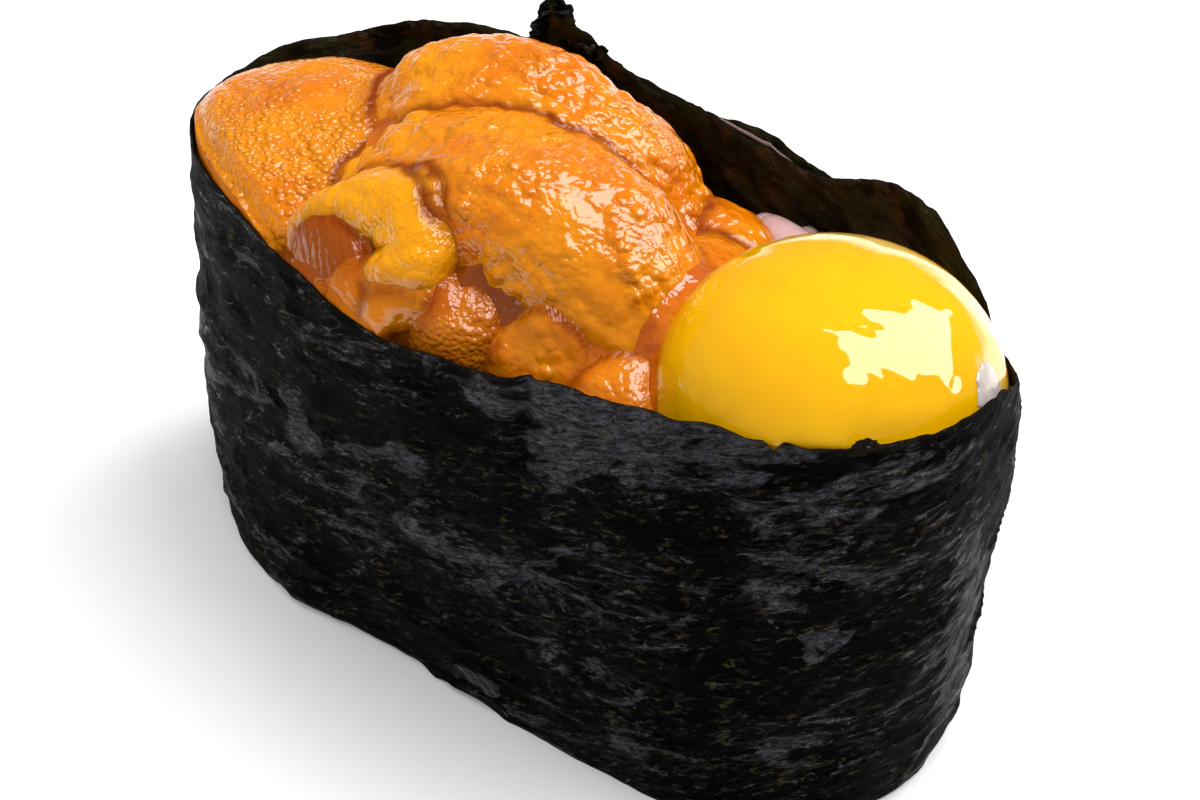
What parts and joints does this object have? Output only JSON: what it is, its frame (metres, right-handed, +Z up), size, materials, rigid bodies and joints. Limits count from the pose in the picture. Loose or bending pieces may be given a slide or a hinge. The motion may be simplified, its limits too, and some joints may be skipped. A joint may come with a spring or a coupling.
{
  "type": "sea urchin gunkan sushi",
  "caption": "Oval band of dark nori round pressed rice, open at the top and heaped with glossy orange sea urchin tongues and a raw quail egg yolk; a piece of food to set on a plate.",
  "frame": {"origin": "on the ground, under the middle of the nori band's bounding box", "axes": "+X points to the end that holds the yolk, +Y to the long wall where the two ends of the nori strip overlap, and +Z up"},
  "size_m": [0.062, 0.0302, 0.0376],
  "materials": {
    "nori": "near-black toasted seaweed sheet, fibrous and unevenly glossy, blue-grey where it catches the light",
    "rice": "moist cooked white rice, satin",
    "uni": "wet bright orange tongue with fine beads over its surface, redder in the creases",
    "yolk": "wet smooth deep yellow with a clear window reflection"
  },
  "bodies": {
    "root": {"nori": "nori", "rice": "rice", "yolk": "yolk", "uni_far": "uni", "uni_back": "uni", "uni_middle": "uni", "uni_curl": "uni", "uni_tip": "uni", "uni_front": "uni", "uni_near": "uni", "uni_low": "uni", "uni_edge": "uni", "uni_side": "uni", "uni_corner": "uni"}
  },
  "joints": []
}
